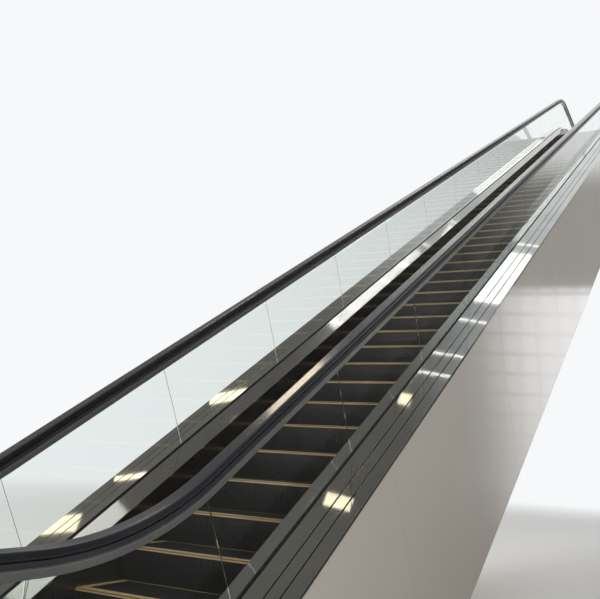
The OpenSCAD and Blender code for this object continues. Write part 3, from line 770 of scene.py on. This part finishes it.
# The bright foot that clamps the glass: half a neck and a wider skirt with a slot below, mirrored
def footSection():
    (neck, seam), (wide, wideLow, low), (slot, roof) = handrail["seam"], handrail["foot"], handrail["slot"]
    return mirrored([(slot, roof), (slot, low), (wideLow, low), (wide, seam), (neck, seam),
                     (neck, handrail["carrier"][2])], handrail["footRounds"])


railPath = railRun()
railLength = sum(length for length, turn in railPath["parts"])
for side, sign in sides:
    guide = side + "_handrail_guide"
    for name, section, inset, finish, slot, replaced in (
            ("_rubber_handrail", railSection(), 0.0, "rail", "handrails", side + "_handrail"),
            ("_handrail_carrier", carrierSection(), handrail["inlet"], "carrier", "bright_trim", guide),
            ("_handrail_glass_channel", footSection(), handrail["inlet"], "guide", "bright_trim", guide)):
        s = spacedOn(railPath, inset, railLength - inset, handrail["spacing"])
        shape = Shape()
        carried(shape, railPath, s, section + [layout["glassOut"], 0.0], sign)
        shape.piece(side + name, finish, replaced, handrail["sharp"])
print("handrails: %.2f m each" % railLength)

# Decks: steel sections with folded edges, in lengths with fine joints
decks = {
    "seat": 0.1263,
    "lip": 0.130,
    "crest": 0.168,
    "fall": 0.024,
    "edge": 0.912,
    "clampHalf": 0.012,
    "grooves": (0.751, 0.826),
    "grooveWidth": 0.006,
    "skirtFace": 0.503,
    "lengths": 6,
    "joint": 0.0012,
    "fold": 0.004,
    "foldRound": 0.0032,
    "outerFold": 0.003,
    "stripFold": 0.002,
    "spacing": (0.05, 3.0),
    "sharp": 40,
}
seals = {"out": 0.0105, "in": 0.006, "low": 0.170, "high": 0.176}


# Lengths of the decks between two distances along the nose line: levels, bends and shares of the incline
def deckSpans():
    s0 = lowerCombX - layout["newelBack"] + layout["baseBack"] + lowerTangent
    s1 = levelStart + upperCombX + layout["newelBack"] - layout["baseBack"] - upperX - upperTangent
    cuts = [s0, 0.0] + list(np.linspace(curveEnd, slopeEnd, decks["lengths"] + 1)) + [levelStart, s1]
    return [(a + (k > 0) * decks["joint"], b) for k, (a, b) in enumerate(zip(cuts[:-1], cuts[1:]))]


# Sections carried along the nose line in the decks' lengths
def alongNoses(name, finish, sections, sign, replaced=None):
    shape = Shape()
    for a, b in deckSpans():
        s = spacedOn(noseRun, a, b, decks["spacing"])
        for section in sections:
            carried(shape, noseRun, s, section, sign)
    shape.piece(name, finish, replaced, decks["sharp"])


# A straight slope from the folded lip beside the skirt up to the clamp, closed below at the seat
def innerDeckSection():
    wall = layout["glassOut"] - decks["clampHalf"]
    corners = [(decks["skirtFace"], decks["seat"]), (decks["skirtFace"], decks["lip"] + decks["fold"]),
               (wall, decks["crest"]), (wall, decks["seat"])]
    return rounded(corners, [0, decks["foldRound"], decks["stripFold"], 0])


# Three strips with a groove between each two, whose tops fall in a straight line to the outer edge
def outerDeckSections():
    start, edge = layout["glassOut"] + decks["clampHalf"], decks["edge"]
    top = lambda y: decks["crest"] - decks["fall"] * (y - start) / (edge - start)
    half = decks["grooveWidth"] / 2
    marks = [start] + [y + way * half for y in decks["grooves"] for way in (-1, 1)] + [edge]
    sections = []
    for y0, y1 in zip(marks[::2], marks[1::2]):
        last = decks["outerFold"] if y1 == edge else decks["stripFold"]
        corners = [(y0, decks["seat"]), (y0, top(y0)), (y1, top(y1)), (y1, decks["seat"])]
        sections.append(rounded(corners, [0, decks["stripFold"], last, 0]))
    return sections


# Rubber seals beside the foot of the glass, on the clamp: a plain rectangle on each side of it
def sealSections():
    sections = []
    for way in (-1, 1):
        y0, y1 = sorted((layout["glassOut"] + way * seals["in"], layout["glassOut"] + way * seals["out"]))
        sections.append(np.array([(y0, seals["low"]), (y0, seals["high"]), (y1, seals["high"]),
                                  (y1, seals["low"])]))
    return sections


for side, sign in sides:
    alongNoses(side + "_inner_deck_sheet", "innerDeck", [innerDeckSection()], sign,
               side + "_inner_deck")
    alongNoses(side + "_outer_deck_strips", "outerDeck", outerDeckSections(), sign,
               side + "_outer_deck")
for side, sign in sides:
    alongNoses(side + "_glass_seals", "seal", sealSections(), sign)

# Dark seals in the joints of the glass: a thin slab across the glass from clamp to channel
joints = {"gap": 0.003, "width": 0.0026, "half": 0.0058, "low": 0.137, "below": 0.072, "first": 1.361,
          "pitch": 1.467, "count": 13, "levelAfter": 0.110}


# The slab stands at a place on the nose line, square to its heading, between two heights n
def jointSlab(shape, x, z, heading, top, sign):
    n = np.array([[joints["low"]], [top]])
    across = np.array([-1.0, 1.0, 1.0, -1.0]) * joints["width"] / 2
    c, s = math.cos(heading), math.sin(heading)
    y = sign * layout["glassOut"] + np.array([-1, -1, 1, 1]) * joints["half"]
    shape.blocks(rings(x + across * c - n * s, y, z + across * s + n * c))


for side, sign in sides:
    shape = Shape()
    middleHeight = handrail["height"] - handrail["thick"] / 2
    levelTop = middleHeight - joints["below"]
    slopeTop = (middleHeight + handrail["lift"]) * math.cos(incline) - joints["below"]
    lowX = -lowerTangent - joints["levelAfter"] + joints["gap"] / 2
    highX = upperX + upperTangent + joints["levelAfter"] - joints["gap"] / 2
    jointSlab(shape, lowX, layout["floor"], 0.0, levelTop, sign)
    jointSlab(shape, highX, topZ, 0.0, levelTop, sign)
    marks = joints["first"] + np.arange(joints["count"]) * joints["pitch"] - joints["gap"] / 2
    for x, z in zip(*pointsOn(noseRun, marks)[:2]):
        jointSlab(shape, x, z, incline, slopeTop, sign)
    shape.piece(side + "_glass_joints", "seal")
print("decks, seals and joints")

# Studio: floor, world, lamps, camera
studio = {
    "floorSize": 160.0,
    "floorColour": (0.80, 0.80, 0.79),
    "floorFade": (3.0, 24.0),          # metres from the object over which the floor turns into backdrop
    "worldColour": (0.88, 0.88, 0.88),
    "worldStrength": 0.72,
    "backdrop": (0.93, 0.94, 0.95),
    # what metal, glass and rubber mirror: a colour, then the limits of its mask
    "ahead": ((0.46, 0.465, 0.475), (0.50, 0.31)),        # by the angle from straight ahead
    "overhead": ((0.20, 0.19, 0.178), (0.64, 0.88)),      # by height plus aheadShare of that angle
    "aheadShare": 0.3,
    "flank": ((0.21, 0.20, 0.185), (0.42, 0.66)),         # by the angle from straight ahead
    "nearBand": ((0.25, 0.245, 0.23), (0.06, 0.11)),      # by how far to the near side
    "nearBandEdges": ((0.20, 0.23), (0.33, 0.38)),        # the heights between which it stands
    "nearDark": ((0.065, 0.064, 0.061), (0.17, 0.27)),    # by how far to the near side
    "bearingX": 2.0,                                      # where its edge on the floor starts
    "lightPanel": ((1.15, 1.15, 1.16), (0.06, 0.10), (0.28, 0.17)),   # a bright panel on the near side
    "lightPanelEdges": ((-0.02, 0.16), (0.215, 0.228)),
    "panelBars": ((0.024, 0.021), (0.15, 0.06), 0.65),    # pitch up and across, edges, darkening
    "cameraPlace": (-2.6463, -2.6539, 1.2684),
    "cameraAim": (4.26741, 1.03933, 2.86871),
    "cameraRoll": 3.6137,
    "lens": 47.65,
}


# The difference of two eased steps: 1 between the two edges, 0 outside them
def between(tree, value, edges):
    return calc(tree, "SUBTRACT", ranged(tree, value, *edges[0]), ranged(tree, value, *edges[1]))


# Masks of the rays that see the backdrop, and of those that came off a mirror
def rayMasks(tree):
    path = added(tree, "LightPath", {})
    seen = calc(tree, "MAXIMUM", path["Is Camera Ray"], path["Is Transmission Ray"])
    seen = calc(tree, "MAXIMUM", seen, path["Is Glossy Ray"])
    return seen, calc(tree, "MINIMUM", path["Glossy Depth"], 1.0)


# The second shader times the share, plus the first times what is left of it
def mixShaders(tree, output, share, first, second):
    blend = added(tree, "MixShader", {0: share, 1: first, 2: second})
    feed(tree, tree.nodes[output].inputs["Surface"], blend[0])


# The floor is diffuse near the object and turns into the backdrop's own colour far from it, by the
# distance from the line under the object. Mirrors see it dark on the near side
def studioFloor():
    half = studio["floorSize"] / 2
    corners = [(-half, -half, 0), (half, -half, 0), (half, half, 0), (-half, half, 0)]
    mesh = bpy.data.meshes.new("studioFloor")
    mesh.from_pydata(corners, [], [(0, 1, 2, 3)])
    material, tree, _ = newMaterial("studioFloorPaint", studio["floorColour"], {
        "Roughness": 0.8, "Specular IOR Level": 0.1})
    x, y, _ = axesOf(tree, coordinates(tree))
    middle, reach = (upperX + lowerCombX) / 2, (upperX - lowerCombX) / 2
    fromMiddle = calc(tree, "ABSOLUTE", calc(tree, "SUBTRACT", x, middle))
    beyond = calc(tree, "MAXIMUM", calc(tree, "SUBTRACT", fromMiddle, reach), 0.0)
    aside = calc(tree, "ABSOLUTE", y)
    squares = (calc(tree, "POWER", length, 2.0) for length in (beyond, aside))
    share = ranged(tree, calc(tree, "SQRT", calc(tree, "ADD", *squares)), *studio["floorFade"])
    seen, inMirror = rayMasks(tree)
    nearSide = calc(tree, "MULTIPLY", y, -1.0)
    bearing = calc(tree, "ARCTAN2", nearSide, calc(tree, "SUBTRACT", x, studio["bearingX"]))
    dim = calc(tree, "MULTIPLY", inMirror, ranged(tree, bearing, *studio["nearDark"][1]))
    glow = added(tree, "Emission", {"Color": toneMix(tree, studio["backdrop"], studio["nearDark"][0], dim)})
    shown = calc(tree, "MULTIPLY", calc(tree, "MAXIMUM", share, dim), seen)
    mixShaders(tree, "Material Output", shown, tree.nodes["Principled BSDF"].outputs[0], glow[0])
    mesh.materials.append(material)
    floor = bpy.data.objects.new("studioFloor", mesh)
    scene.collection.objects.link(floor)


# Diffuse light is even. Camera, glass and mirror rays see the backdrop, and for mirror rays it turns
# into a dim overhead, a dark near side with a barred bright panel, and a lighter field ahead, by
# direction alone
def studioWorld():
    world = bpy.data.worlds.new("studioWorld")
    scene.world = world
    world.use_nodes = True
    tree = world.node_tree
    light = tree.nodes["Background"]
    feed(tree, light.inputs["Color"], studio["worldColour"])
    feed(tree, light.inputs["Strength"], studio["worldStrength"])
    x, y, z = axesOf(tree, coordinates(tree, "Generated"))
    turn = calc(tree, "ABSOLUTE", calc(tree, "ARCTAN2", y, x))
    nearSide = calc(tree, "MULTIPLY", y, -1.0)
    above = calc(tree, "MULTIPLY_ADD", turn, studio["aheadShare"], z)
    shown, inMirror = rayMasks(tree)
    sources = {"ahead": turn, "overhead": above, "flank": turn, "nearBand": nearSide, "nearDark": nearSide}
    masks = {key: ranged(tree, value, *studio[key][1]) for key, value in sources.items()}
    tones = {key: studio[key][0] for key in sources}
    tones["overhead"] = toneMix(tree, tones["overhead"], tones["ahead"], masks["ahead"])
    masks["nearBand"] = calc(tree, "MULTIPLY", between(tree, z, studio["nearBandEdges"]), masks["nearBand"])
    tones["lightPanel"], *sideEdges = studio["lightPanel"]
    panel = calc(tree, "MULTIPLY", *(ranged(tree, nearSide, *edge) for edge in sideEdges))
    panel = calc(tree, "MULTIPLY", panel, between(tree, z, studio["lightPanelEdges"]))
    pitches, (outside, inside), darkening = studio["panelBars"]
    bars = [ranged(tree, calc(tree, "PINGPONG", value, pitch / 2), pitch * outside, pitch * inside)
            for value, pitch in zip((z, nearSide), pitches)]
    bar = calc(tree, "MULTIPLY", calc(tree, "MAXIMUM", *bars), darkening)
    masks["lightPanel"] = calc(tree, "MULTIPLY", panel, calc(tree, "SUBTRACT", 1.0, bar))
    colour = studio["backdrop"]
    for key in ("nearBand", "flank", "overhead", "nearDark", "lightPanel"):
        colour = toneMix(tree, colour, tones[key], calc(tree, "MULTIPLY", masks[key], inMirror))
    seen = added(tree, "Background", {"Color": colour})
    mixShaders(tree, "World Output", shown, light.outputs[0], seen[0])


# The matrix of a lamp or camera that looks from place at aim, rolled about that line in degrees
def facing(place, aim, roll, steep=0.999):
    place, aim = np.array(place), np.array(aim)
    f = (aim - place) / np.linalg.norm(aim - place)
    side = np.array([1.0, 0.0, 0.0]) if abs(f[2]) > steep else np.cross(f, [0.0, 0.0, 1.0])
    side /= np.linalg.norm(side)
    up = np.cross(side, f)
    c, s = math.cos(math.radians(roll)), math.sin(math.radians(roll))
    columns = (c * side + s * up, c * up - s * side, -f, place)
    return Matrix([[column[k] for column in columns] for k in range(3)] + [[0, 0, 0, 1]])


# A rectangular lamp at a place, facing its aim and turned about that line in degrees
def areaLamp(name, place, aim, size, power, colour, turn=0.0):
    lamp = bpy.data.lights.new(name, "AREA")
    lamp.shape = "RECTANGLE"
    lamp.size, lamp.size_y = size
    lamp.energy = power
    lamp.color = colour
    made = bpy.data.objects.new(name, lamp)
    scene.collection.objects.link(made)
    made.matrix_world = facing(place, aim, turn)


studioFloor()
studioWorld()
# Soft lamps: name, place, aim, size, power, colour
softLamps = [
    ("frontSoft", (-9.0, -4.0, 8.0), (3.0, 0.0, 1.5), (5.0, 4.0), 380.0, (1.0, 0.98, 0.95)),
    ("overheadSoft", (-5.0, 7.0, 18.0), (8.0, 0.0, 4.0), (8.0, 8.0), 1300.0, (0.98, 0.99, 1.0)),
]
for lamp in softLamps:
    areaLamp(*lamp)
# Small lamps overhead that the polished decks mirror: place, size in x and y, brightness, turn. Their
# power is pi times brightness times area
smallLamps = {
    "ceiling": ((1.0, 0.98, 0.94), [
        ((14.9, 1.8, 14.0), (2.0, 1.2), 3.5, 0.0),
        ((12.75, 3.22, 14.0), (3.7, 0.52), 2.5, -11.3),
        ((21.5, 3.6, 14.0), (2.9, 0.6), 1.5, -51.0),
        ((2.60, 5.38, 14.0), (3.0, 1.1), 1.3, -16.0),
    ] + [((x, 2.6, 12.0), (0.05, 4.4), 4.5, 0.0) for x in (14.3, 13.2, 12.3, 11.6, 10.5, 9.9)]),
    "warm": ((1.0, 0.86, 0.62), [
        ((9.08, 2.64, 12.0), (0.30, 0.28), 3.0, 0.0),
        ((6.30, 3.25, 12.0), (0.30, 0.60), 3.0, 0.0),
        ((8.25, 7.0, 8.0), (0.26, 0.94), 2.8, 0.0),
        ((6.56, 9.0, 8.0), (0.12, 0.90), 3.0, 0.0),
        ((5.60, 10.55, 8.0), (0.40, 1.10), 2.2, 0.0),
        ((8.60, 6.1, 12.0), (0.9, 1.6), 10.0, 45.0),        # in the near handrail
    ]),
}
for label, (colour, lamps) in smallLamps.items():
    for k, (place, size, bright, turn) in enumerate(lamps):
        power = math.pi * bright * size[0] * size[1]
        areaLamp("%sLight_%d" % (label, k + 1), place, (place[0], place[1], 0.0), size, power, colour, turn)
cameraData = bpy.data.cameras.new("photoCamera")
cameraData.sensor_width = 36.0
cameraData.lens = studio["lens"]
cameraData.clip_end = 300.0
camera = bpy.data.objects.new("photoCamera", cameraData)
scene.collection.objects.link(camera)
camera.matrix_world = facing(studio["cameraPlace"], studio["cameraAim"], studio["cameraRoll"])
scene.camera = camera
scene.view_settings.view_transform = "Standard"
print("studio ready")
